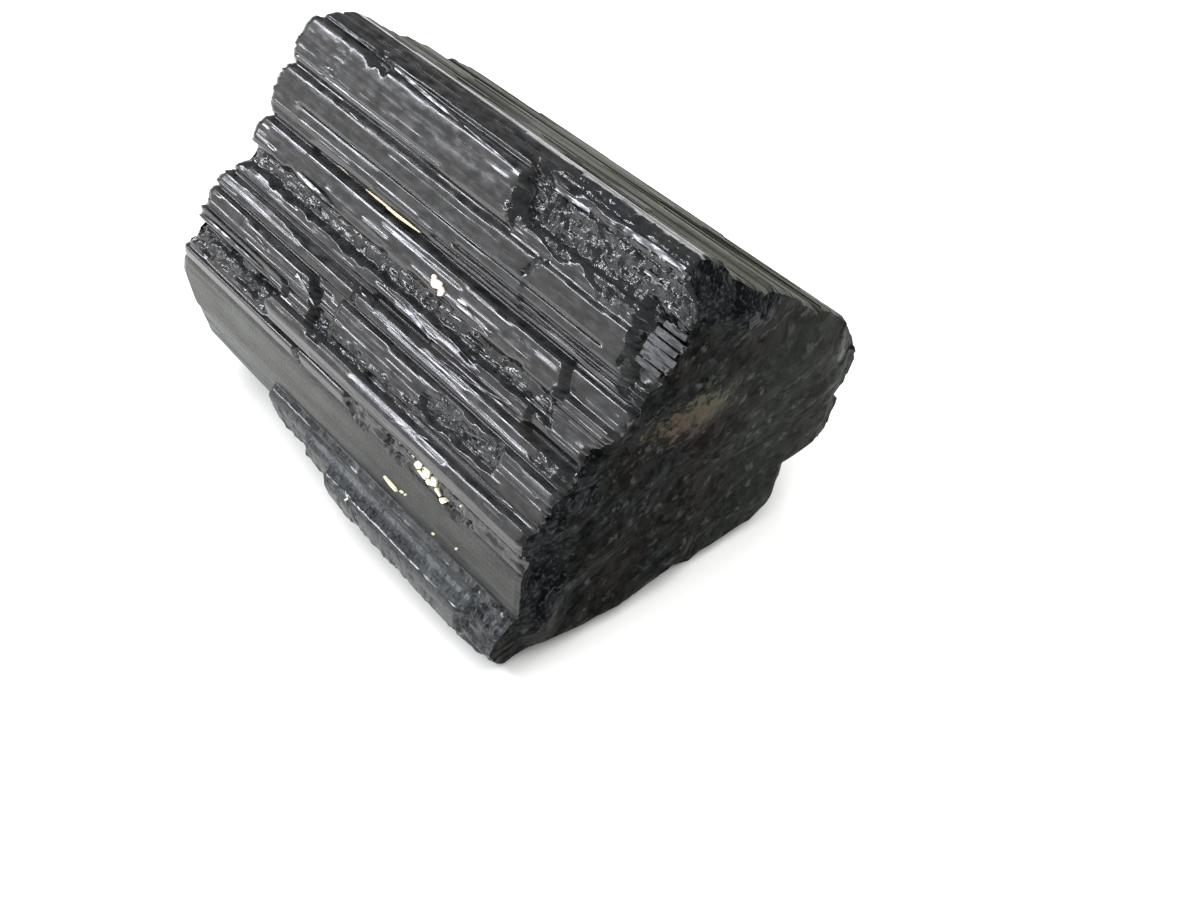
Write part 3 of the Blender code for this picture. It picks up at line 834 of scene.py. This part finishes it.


# The filmed faces: satin under a thin film, grey-green on the left wall and its
# foot, and olive with thin dark lines on the roof, where it is nearly matt. Their
# pale tones are partly painted sheen, the bright table and room that they mirror.
def filmed(name, code, roughness, specular, depth, dust_depth):
    """A filmed material with fine lines and dust: it, its tree, shader, lines, and all its marks."""
    material, tree, shader = new_material(name, code, roughness, 1.5, specular)
    lines = mottle(tree, FILM_LINES, 4.0, 20.0)
    patches = mottle(tree, FILM_PATCHES, 5.0, 24.0)
    dust = mottle(tree, DUST, 1.0, 28.0)
    normal = struck(tree, lines, depth, 0.4, 0.06, 3.0)
    dusty = {"Height": dust, "Distance": dust_depth * MM, "Normal": normal}
    give(tree, shader, {"Normal": add(tree, "ShaderNodeBump", dusty)})
    return material, tree, shader, lines, summed(tree, (patches, 1.0), (dust, 1.0), (lines, 1.0))


# Painted sheen: the pale grey-greens of the wall and foot stand in partly for the bright table that they
# mirror; the wall's colour darkens towards the front break.
wall_film_and_sheen, tree, shader, _, worn = filmed("grey-green film and sheen", "#2f312f", 0.34, 0.33, 0.022, 0.02)
along = add(tree, "ShaderNodeAttribute", out="Fac", attribute_name="along")
s = add(tree, "ShaderNodeAttribute", out="Fac", attribute_name="s")
foot = tinted(tree, "#101214", (worn, 1.25, 1.75, 1.0, "#3c4042"))
wall = tinted(tree, "#1f211f", (worn, 1.25, 1.75, 1.0, "#464844"))
front_wall = tinted(tree, "#0c0d0d", (worn, 1.25, 1.75, 1.0, "#343633"))
wall = tinted(tree, wall, (along, -28.0, -6.0, 1.0, front_wall))
give(tree, shader, {"Base Color": tinted(tree, foot, (s, 4.2, 4.9, 1.0, wall))})

# Painted sheen: the pale olive bands stand in partly for the bright room that the roof mirrors at a grazing
# angle, while its own gloss is kept low.
roof_film_and_sheen, tree, shader, lines, worn = filmed("olive film and sheen", "#36372d", 0.5, 0.12, 0.016, 0.01)
banded = add(tree, "ShaderNodeMapRange", {0: lines, 1: 0.42, 2: 0.60, 4: 0.25})
banded = add(tree, "ShaderNodeMath", {0: banded, 1: worn}, operation="MULTIPLY")
roof = tinted(tree, "#0d0e0a", (banded, 0.0, 1.0, 1.0, "#66665c"))
s = add(tree, "ShaderNodeAttribute", out="Fac", attribute_name="s")
give(tree, shader, {"Base Color": tinted(tree, "#141512", (s, 30.6, 33.0, 1.0, roof))})

# The breaks: dull charcoal with small grey flakes that lean up to the right, painted shade
# near black along the front break's rim and hollows on glassier fresh chips, and a cracked olive and brown
# stain on the front one.
STAIN_PLACE = (1.0, 14.1, 15.6)      # in the drawing
STAIN_REACH = (2.5, 3.6, 1.5)
PALE_RIGHT = (14.0, 25.0)            # y where the break starts to be paler, and is palest
FLAKE_LEAN = (0.5, 0.0, 0.0)         # turn and stretch of the flakes
FLAKE_STRETCH = (1.0, 1.35, 0.95)
BREAK_CHIPS = (0.9, 0.05, 0.7)       # size and height in mm, tilt as a slope
BREAK_CRUMBS = (0.36, 0.012, 0.5)
GRAIN_DEPTH = 0.03                   # mm
broken_schorl, tree, shader = new_material("broken schorl", "#161818", 0.55, 1.5, 0.04)
place = add(tree, "ShaderNodeTexCoord", out="Object")
place = add(tree, "ShaderNodeVectorMath", {0: place, "Scale": 1.0 / MM}, operation="SCALE")
leaned = {"Vector": place, "Rotation": FLAKE_LEAN, "Scale": FLAKE_STRETCH}
leaned = add(tree, "ShaderNodeMapping", leaned, vector_type="TEXTURE")
ground = {"Vector": leaned, "Scale": 1.7, "Detail": 3.0, "Roughness": 0.7}
ground = add(tree, "ShaderNodeTexNoise", ground)
grain = {"Vector": leaned, "Scale": 4.0, "Detail": 1.6, "Roughness": 0.6}
grain = add(tree, "ShaderNodeTexNoise", grain)
brown = add(tree, "ShaderNodeTexNoise", {"Vector": place, "Scale": 0.25, "Detail": 3.0})
to_right = add(tree, "ShaderNodeSeparateXYZ", {0: place}, out=1)
pale_start, pale_full = (drawing_origin.y / MM + y for y in PALE_RIGHT)
cells = {"Vector": leaned, "Scale": 1.35}
flaked = add(tree, "ShaderNodeTexVoronoi", cells, out="Distance")
flaked = summed(tree, (flaked, 1.0), (grain, 1.3), (ground, -1.6))
flaked = add(tree, "ShaderNodeMapRange", {0: flaked, 1: 0.02, 2: 0.3, 3: 1.0, 4: 0.0})
chosen = add(tree, "ShaderNodeTexVoronoi", cells, out="Color")
chosen = add(tree, "ShaderNodeSeparateXYZ", {0: chosen})
chosen = add(tree, "ShaderNodeMapRange", {0: chosen, 1: 0.4, 2: 1.0, 4: 0.6})
flaked = add(tree, "ShaderNodeMath", {0: flaked, 1: chosen}, operation="MULTIPLY")
stain_middle = drawing_origin / MM + Vector(STAIN_PLACE)
from_stain = add(tree, "ShaderNodeVectorMath", {0: place, 1: stain_middle}, operation="SUBTRACT")
from_stain = add(tree, "ShaderNodeVectorMath", {0: from_stain, 1: STAIN_REACH}, operation="DIVIDE")
from_stain = add(tree, "ShaderNodeVectorMath", {0: from_stain}, out="Value", operation="LENGTH")
from_stain = summed(tree, (from_stain, 1.0), (ground, 5.0), (grain, 1.2))
stain = tinted(tree, "#504d3d", (brown, 0.4, 0.6, 1.0, "#4c4238"))
# Painted shade: these patches darken the front break to near black, with pale specks, where its hollows and
# rim lie in shade; they are also glassier fresh fracture.
fresh_and_shade = add(tree, "ShaderNodeAttribute", out="Fac", attribute_name="fresh_and_shade")
fresh_and_shade = summed(tree, (fresh_and_shade, 1.7), (ground, -1.2))
specks = tinted(tree, "#06080b", (grain, 0.52, 0.7, 1.0, "#34373a"))
dull = tinted(
    tree,
    "#020303",
    (ground, 0.42, 0.64, 1.0, "#1e2120"),
    (to_right, pale_start, pale_full, 0.4, "#3c3f3a"),
    (brown, 0.46, 0.62, 0.6, "#17120f"),
    (flaked, 0.0, 1.0, 1.0, "#4d514d"),
    (from_stain, 4.1, 3.2, 0.9, stain),
    (fresh_and_shade, -0.35, 0.1, 0.9, specks),
)
glassy = add(tree, "ShaderNodeMapRange", {0: fresh_and_shade, 1: -0.35, 2: 0.1, 3: 0.6, 4: 0.33})
across = add(tree, "ShaderNodeSeparateXYZ", {0: leaned}, out=1)
up = add(tree, "ShaderNodeSeparateXYZ", {0: leaned}, out=2)
chips, crumbs = (grains(tree, across, up, *sizes, (1.0, 1.0)) for sizes in (BREAK_CHIPS, BREAK_CRUMBS))
chips = summed(tree, (chips, 1.0), (crumbs, 1.0), (grain, GRAIN_DEPTH))
chipped = add(tree, "ShaderNodeBump", {"Height": chips, "Strength": 1.0, "Distance": MM})
give(tree, shader, {"Base Color": dull, "Roughness": glassy, "Normal": chipped})

grow(crystal, plates_tree([schorl, broken_schorl, wall_film_and_sheen, roof_film_and_sheen]), PLATE_SIZES)
for face in crystal.data.polygons:
    face.use_smooth = face.material_index == 1
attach(crystal, "root")
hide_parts("tourmaline_crystal")

# ------------------------
# Splinters: thin needles of schorl that split off the ribs and lie along them,
# rib ends that stand clear at the break, and a cream crust in a deep groove.
# ------------------------
NEEDLE_SIZES = {"Sides": 4}
NEEDLE_FLAT = 135.0        # which way the upper left side of an unturned needle faces
NEEDLE_WEAR = (0.9, 4.0, 4.0)        # worn spots to a mm, along the prism and across it
PATH_STEPS = 7             # places along a needle where the ribs under it are measured
SPLINTERS = (  # s and x of one end, s and x of the other, thickness, lift
    (27.8, -27.5, 27.5, -20.45, 0.30, 0.00),
    (27.5, -19.8, 27.25, -14.0, 0.16, 0.02),
    (28.1, -34.7, 27.95, -30.7, 0.26, 0.02),
    (11.7, -36.7, 11.75, -29.1, 0.20, 0.04),
    (14.65, -37.2, 15.3, -33.0, 0.10, 0.04),
    (18.5, -30.7, 18.25, -26.2, 0.36, 0.16),
    (17.7, -14.5, 18.3, -10.2, 0.08, 0.10),
    (16.2, -17.4, 15.7, -14.0, 0.30, 0.06),
    (15.75, -14.2, 15.85, -8.3, 0.10, 0.06),
    (15.15, -12.6, 15.7, -4.9, 0.09, 0.10),
    (15.1, -11.3, 15.0, -5.7, 0.10, 0.08),
    (15.15, -10.6, 16.05, -5.4, 0.08, 0.12),
    (14.7, -19.0, 14.55, -13.3, 0.08, 0.04),
    (16.5, -13.0, 16.15, -9.5, 0.08, 0.05),
    (10.4, -12.9, 11.15, -8.8, 0.08, 0.05),
    (13.1, -26.2, 12.3, -23.4, 0.30, 0.02),
    (12.8, -8.2, 13.3, -6.1, 0.12, 0.05),
    (18.85, -13.0, 18.3, -10.1, 0.10, 0.03),
    (16.75, -6.0, 16.8, -3.3, 0.14, 0.05),
    (23.9, -29.5, 23.6, -26.0, 0.07, 0.02),
    (13.4, -33.0, 13.0, -29.8, 0.08, 0.03),
)
COLUMNS = (  # broken rib ends that stand clear by the front break
    (22.75, -0.9, 22.75, 0.9, 0.50, -0.05),
    (23.2, -0.9, 23.2, 1.1, 0.60, 0.00),
    (23.7, -0.9, 23.7, 1.3, 0.66, 0.05),
    (24.25, -0.8, 24.25, 1.2, 0.56, 0.05),
    (24.75, -0.8, 24.75, 1.3, 0.62, 0.05),
    (25.3, -0.6, 25.3, 1.1, 0.52, 0.0),
)
CREST_CHIPS = (
    (28.25, -6.0, 28.35, -1.1, 0.50, -0.08),
    (27.85, -11.8, 27.9, -8.8, 0.40, -0.06),
    (28.05, -1.1, 28.1, -0.6, 0.60, -0.12),
    (27.0, -3.4, 27.05, -2.2, 0.30, 0.04),
)
CRUSTS = (
    (20.45, -28.3, 20.45, -23.9, 0.14, 0.13),
    (20.45, -24.9, 20.5, -21.2, 0.22, 0.14),
    (20.47, -22.4, 20.6, -18.9, 0.28, 0.14),
)


def surface_place(s, x, height):
    """Place (mm, in the drawing) and outward direction at (s, x), so far above the plain outline."""
    share = np.clip(-x / LENGTH, 0.0, 1.0)
    direction = outward(np.float64(s), np.float64(share))
    y, z = outline(np.float64(s), np.float64(share)) + direction * height
    return Vector((x, y, z)), Vector((0.0, *direction))


def needles_tree(material):
    """Geometry Nodes that turn each line into a closed, tapered needle."""
    tree, given = new_tree("needles", NEEDLE_SIZES)
    thickness = add(tree, "GeometryNodeInputNamedAttribute", {"Name": "thickness"})
    turn = add(tree, "GeometryNodeInputNamedAttribute", {"Name": "turn"})
    line = add(tree, "GeometryNodeMeshToCurve", {"Mesh": given["Geometry"]})
    line = add(tree, "GeometryNodeSetCurveTilt", {"Curve": line, "Tilt": turn})
    section = {"Resolution": given["Sides"], "Radius": 0.5 * MM}
    section = add(tree, "GeometryNodeCurvePrimitiveCircle", section)
    swept = {"Curve": line, "Profile Curve": section, "Scale": thickness, "Fill Caps": True}
    swept = add(tree, "GeometryNodeCurveToMesh", swept)
    swept = add(tree, "GeometryNodeRealizeInstances", {"Geometry": swept})
    swept = add(tree, "GeometryNodeSetShadeSmooth", {"Geometry": swept, "Shade Smooth": False})
    swept = add(tree, "GeometryNodeSetMaterial", {"Geometry": swept, "Material": material})
    add(tree, "NodeGroupOutput", {0: swept})
    return tree


def add_needles(name, table, material, tapers=(0.35, 1.0, 0.85, 0.3), off=0.0):
    """One object of needles along the ribs, turned to the window or some degrees off it."""
    corners, links, thicknesses, turns = [], [], [], []
    for s_start, x_start, s_end, x_end, thickness, lift in table:
        path = [np.linspace(*ends, PATH_STEPS)[None, :] for ends in ((s_start, s_end), (x_start, x_end))]
        height = main_relief(*path)[0].max() + lift
        ends = [surface_place(s_start, x_start, height)[0], surface_place(s_end, x_end, height)[0]]
        for step, taper in enumerate(tapers):
            place = ends[0].lerp(ends[1], step / (len(tapers) - 1.0))
            corners.append(place)
            thicknesses.append(thickness * taper)
            turns.append(math.radians(mirror_angle(place.y, place.z) - NEEDLE_FLAT + off))
            if step:
                links.append((len(corners) - 2, len(corners) - 1))
    piece = new_piece(name, corners, links, [], {"thickness": thicknesses, "turn": turns})
    grow(piece, needles_tree(material), NEEDLE_SIZES)
    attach(piece, "root")


# Schorl needles: glassy like the faces, in dull and bright spots where they are worn.
needle, tree, shader = new_material("schorl needle", "#131518", 0.2, SCHORL_IOR)
place = add(tree, "ShaderNodeTexCoord", out="Object")
place = {0: place, 1: Vector(NEEDLE_WEAR) / MM}
place = add(tree, "ShaderNodeVectorMath", place, operation="MULTIPLY")
worn = add(tree, "ShaderNodeTexNoise", {"Vector": place, "Scale": 1.0, "Detail": 3.0})
worn = add(tree, "ShaderNodeMapRange", {0: worn, 1: 0.38, 2: 0.62, 3: 0.15, 4: 0.55})
give(tree, shader, {"Roughness": worn})

# Cream crust: fine mica and clay that settled in the groove, half matt.
crust = new_material("cream crust", "#bdb297", 0.5, 1.5)[0]

add_needles("splinters", SPLINTERS, needle)
add_needles("columns", COLUMNS, needle, (0.9, 1.0, 0.95, 0.85), 4.5)
add_needles("crest_chips", CREST_CHIPS, needle, (0.8, 1.0, 0.95, 0.7))
add_needles("cream_crust", CRUSTS, crust)

# ------------------------
# Mica: small cracked cream flakes stuck to the left wall, and a pinkish grain
# of feldspar on the middle rib.
# ------------------------
FLAKE_DEPTH = 0.22         # mm, mostly sunk in
FLAKE_PROUD = 0.14
FLAKE_CORNERS = 7
FLAKE_RAGGED = (0.6, 1.15) # nearest and farthest corner, as shares of the half sizes
FLAKE_TILT = 0.12          # steepest slope
FLAKES = (  # s, x, half width round the wall, half length along it, slant
    (8.80, -10.15, 0.36, 0.46, -0.2),
    (8.72, -9.35, 0.42, 0.44, 0.1),
    (8.30, -9.75, 0.22, 0.46, 0.2),
    (8.22, -9.0, 0.24, 0.40, 0.0),
    (8.62, -8.55, 0.34, 0.36, -0.1),
    (8.15, -8.10, 0.26, 0.34, 0.1),
    (7.86, -7.55, 0.28, 0.38, -0.5),
    (8.95, -10.85, 0.09, 0.16, 0.0),
    (8.2, -9.6, 0.07, 0.14, 0.0),
    (5.62, -12.3, 0.17, 0.85, 0.12),
    (5.85, -11.2, 0.06, 0.16, 0.0),
    (5.92, -10.8, 0.07, 0.10, 0.0),
    (2.9, -14.9, 0.08, 0.10, 0.0),
    (9.15, -4.45, 0.16, 0.22, 0.0),
    (8.7, -5.9, 0.08, 0.12, 0.0),
    (5.6, -5.5, 0.06, 0.10, 0.0),
    (5.0, -7.8, 0.05, 0.12, 0.0),
)
GRAINS = (
    (18.72, -15.6, 0.34, 0.50, -0.2),
    (18.52, -15.0, 0.30, 0.36, 0.3),
    (18.98, -16.1, 0.18, 0.24, 0.0),
    (18.9, -13.2, 0.09, 0.44, 0.0),
)


def add_flakes(name, table, material, seed):
    """One object of flat, irregular plates that lie on the crystal."""
    rng = np.random.default_rng(seed)
    corners, sides = [], []
    for s, x, half_width, half_length, slant in table:
        height = main_relief(np.array([[s]]), np.array([[x]]))[0][0, 0] + FLAKE_PROUD
        middle, away = surface_place(s, x, height)
        across = Vector((1, 0, 0)).cross(away)
        ring = list(range(len(corners), len(corners) + FLAKE_CORNERS))
        reach = rng.uniform(*FLAKE_RAGGED, FLAKE_CORNERS)
        tilt = rng.uniform(-FLAKE_TILT, FLAKE_TILT, 2)
        for depth in (0.0, -FLAKE_DEPTH):
            for corner in range(FLAKE_CORNERS):
                angle = 2.0 * math.pi * corner / FLAKE_CORNERS
                right = math.cos(angle) * reach[corner] * half_length
                up = math.sin(angle) * reach[corner] * half_width + slant * right
                lift = depth or tilt[0] * right + tilt[1] * up
                corners.append(middle + Vector((right, 0, 0)) + across * up + away * lift)
        sides += [ring[::-1], [number + FLAKE_CORNERS for number in ring]]
        for here, there in zip(ring, ring[1:] + ring[:1]):
            sides.append([here, there, there + FLAKE_CORNERS, here + FLAKE_CORNERS])
    piece = new_piece(name, corners, [], sides, {})
    piece.data.materials.append(material)
    solid = bmesh.new()
    solid.from_mesh(piece.data)
    bmesh.ops.recalc_face_normals(solid, faces=solid.faces)
    solid.to_mesh(piece.data)
    solid.free()
    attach(piece, "root")


# Cream mica: pale and smooth, so it is the brightest thing on the dark wall.
mica = new_material("cream mica", "#e6e0c4", 0.35, 1.56)[0]

# Pinkish feldspar: a little duller than the mica.
feldspar = new_material("pinkish feldspar", "#e2cbbd", 0.4, 1.52)[0]

add_flakes("mica_flakes", FLAKES, mica, seed=3)
add_flakes("feldspar_grains", GRAINS, feldspar, seed=6)

# ------------------------
# Table, and the light round it: a window behind the left shoulder, the pale
# wall under it, and soft light from above that only the table mirrors.
# ------------------------
TABLE_SIZE = 3.0           # m
TABLE_GAP = 0.02           # mm
CRYSTAL_MIDDLE = (-18.0, 15.0, 10.0)
ROOM_LIGHT = 0.34

# Painted board: pale and matt, so that the crystal stands on little but its shadow.
pale = new_material("painted board", "#f2f2f0", 0.9, 1.45, 0.2)[0]
bpy.ops.mesh.primitive_plane_add(size=TABLE_SIZE, location=(0, 0, crystal_low.z - TABLE_GAP * MM))
table = bpy.context.object
table.name = "table"
table.data.materials.append(pale)


def panel(name, place, size, radiance, code="#ffffff", glossy=True):
    """A soft panel light, long side along X, that faces the crystal; place and size in mm."""
    data = bpy.data.lights.new(name, "AREA")
    data.shape = "RECTANGLE"
    data.size, data.size_y = size[0] * MM, size[1] * MM
    data.energy = radiance * math.pi * data.size * data.size_y
    data.color = colour(code)[:3]
    light = bpy.data.objects.new(name, data)
    bpy.context.scene.collection.objects.link(light)
    back = (Vector(place) - Vector(CRYSTAL_MIDDLE)).normalized()
    side = (Vector((1, 0, 0)) - back * back.x).normalized()
    turned = Matrix((side, back.cross(side), back)).transposed().to_4x4()
    light.matrix_world = Matrix.Translation(drawing_origin + Vector(place) * MM) @ turned
    light.visible_glossy = glossy


panel("window", WINDOW_PLACE, (330.0, 70.0), 23.0, "#f4f6ff")
panel("pale wall", (-558.0, -700.0, 290.0), (1300.0, 520.0), 0.85)
panel("ceiling", (0.0, 0.0, 900.0), (1500.0, 1500.0), 3.8, glossy=False)
world = bpy.data.worlds.new("room")
world.use_nodes = True
give(world.node_tree, world.node_tree.nodes["Background"], {"Color": "#dcdcda", "Strength": ROOM_LIGHT})
bpy.context.scene.world = world
bpy.context.scene.view_settings.view_transform = "Standard"
